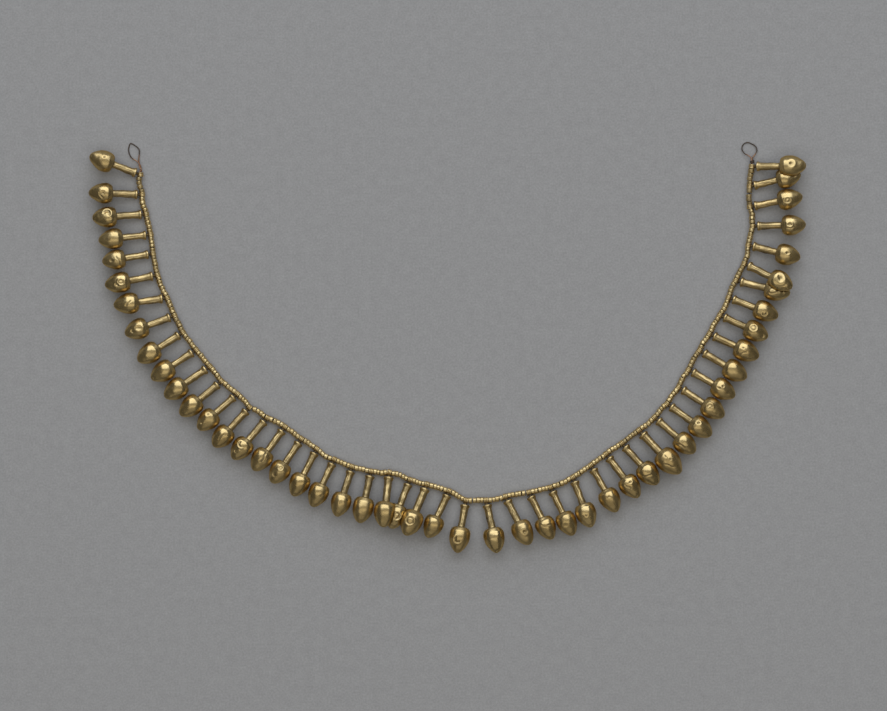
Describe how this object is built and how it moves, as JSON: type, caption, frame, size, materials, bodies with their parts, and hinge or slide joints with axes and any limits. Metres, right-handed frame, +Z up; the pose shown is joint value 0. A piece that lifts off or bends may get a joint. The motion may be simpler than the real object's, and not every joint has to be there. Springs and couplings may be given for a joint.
{
  "type": "gold bud pendant necklace",
  "caption": "Gold necklace of hollow bud pendants with ribbed eyes and small ring beads on one wire, open at the top with a twisted wire loop at each end.",
  "frame": {"origin": "centre of the bounding box, on the surface that the necklace lies on", "axes": "+X across the U from the left end to the right end, +Y towards the open side with the end loops, +Z up from the surface"},
  "size_m": [0.2869, 0.1646, 0.0109],
  "materials": {
    "gold_sheet": "worn satin gold with brown patina in the creases",
    "bead_gold": "pale worn gold",
    "copper_wire": "dull dark copper-brown oxide on wire"
  },
  "bodies": {
    "root": {"pendant_01": "gold_sheet", "pendant_02": "gold_sheet", "pendant_03": "gold_sheet", "pendant_04": "gold_sheet", "pendant_05": "gold_sheet", "pendant_06": "gold_sheet", "pendant_07": "gold_sheet", "pendant_08": "gold_sheet", "pendant_09": "gold_sheet", "pendant_10": "gold_sheet", "pendant_11": "gold_sheet", "pendant_12": "gold_sheet", "pendant_13": "gold_sheet", "pendant_14": "gold_sheet", "pendant_15": "gold_sheet", "pendant_16": "gold_sheet", "pendant_17": "gold_sheet", "pendant_18": "gold_sheet", "pendant_19": "gold_sheet", "pendant_20": "gold_sheet", "pendant_21": "gold_sheet", "pendant_22": "gold_sheet", "pendant_23": "gold_sheet", "pendant_24": "gold_sheet", "pendant_25": "gold_sheet", "pendant_26": "gold_sheet", "pendant_27": "gold_sheet", "pendant_28": "gold_sheet", "pendant_29": "gold_sheet", "pendant_30": "gold_sheet", "pendant_31": "gold_sheet", "pendant_32": "gold_sheet", "pendant_33": "gold_sheet", "pendant_34": "gold_sheet", "pendant_35": "gold_sheet", "pendant_36": "gold_sheet", "pendant_37": "gold_sheet", "pendant_38": "gold_sheet", "pendant_39": "gold_sheet", "pendant_40": "gold_sheet", "pendant_41": "gold_sheet", "pendant_42": "gold_sheet", "pendant_43": "gold_sheet", "pendant_44": "gold_sheet", "pendant_45": "gold_sheet", "pendant_46": "gold_sheet", "pendant_47": "gold_sheet", "pendant_48": "gold_sheet", "pendant_49": "gold_sheet", "pendant_50": "gold_sheet", "beads_left": "bead_gold", "beads_right": "bead_gold", "stringing_wire": "copper_wire", "end_loop_left": "copper_wire", "end_loop_right": "copper_wire"}
  },
  "joints": []
}
